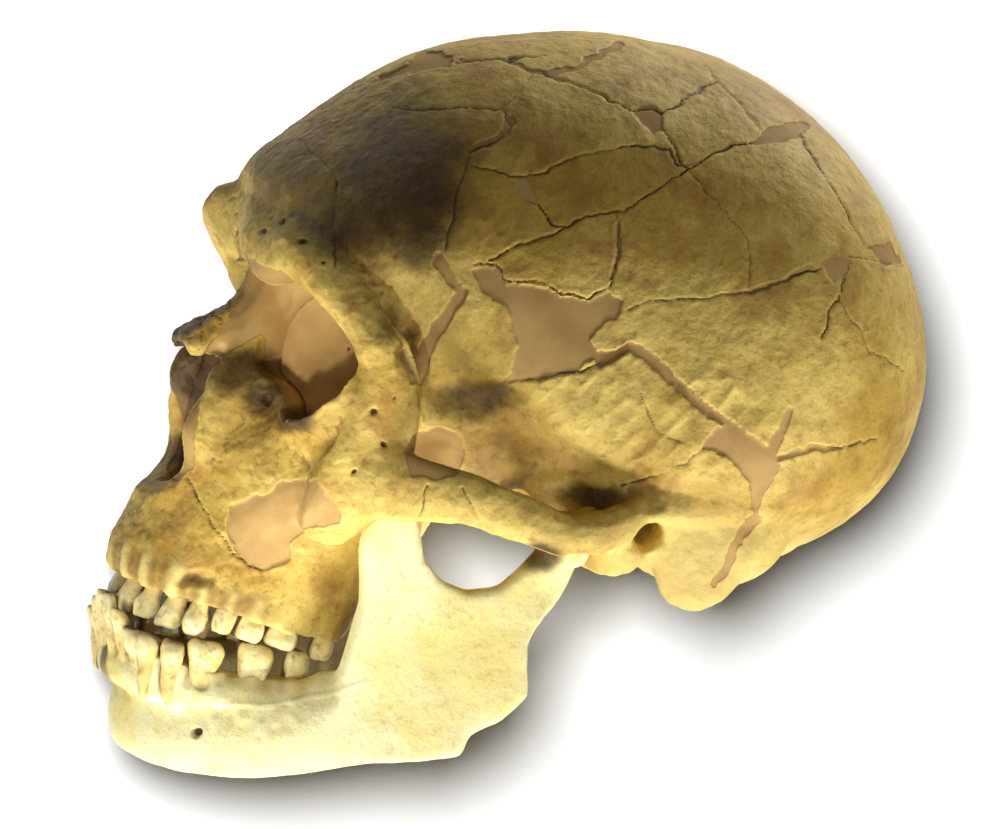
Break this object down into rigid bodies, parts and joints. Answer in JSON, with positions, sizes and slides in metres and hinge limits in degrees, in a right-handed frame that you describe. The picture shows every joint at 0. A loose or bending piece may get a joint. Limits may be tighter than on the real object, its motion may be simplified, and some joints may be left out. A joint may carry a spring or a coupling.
{
  "type": "fossil neanderthal skull",
  "caption": "Fossil Neanderthal skull with its lower jaw, long low braincase, heavy brow ridge, wide nose and worn teeth, lying on its right side",
  "frame": {"origin": "the middle of the bounding box's underside, on the floor the skull rests on", "axes": "the back of the head points to +X, the crown to about +Y, and the skull's left side, which faces up, to about +Z"},
  "size_m": [0.2116, 0.2276, 0.1587],
  "materials": {
    "fossil_bone": "matte ochre fossil bone with tan plaster repairs",
    "pale_bone": "matte cream-yellow bone"
  },
  "bodies": {
    "root": {"frontal": "fossil_bone", "parietal_left": "fossil_bone", "parietal_right": "fossil_bone", "occipital": "fossil_bone", "temporal_left": "fossil_bone", "temporal_right": "fossil_bone", "sphenoid": "fossil_bone", "zygomatic_left": "fossil_bone", "zygomatic_right": "fossil_bone", "maxilla_left": "fossil_bone", "maxilla_right": "fossil_bone", "nasal_bones": "fossil_bone", "mandible": "pale_bone"}
  },
  "joints": []
}
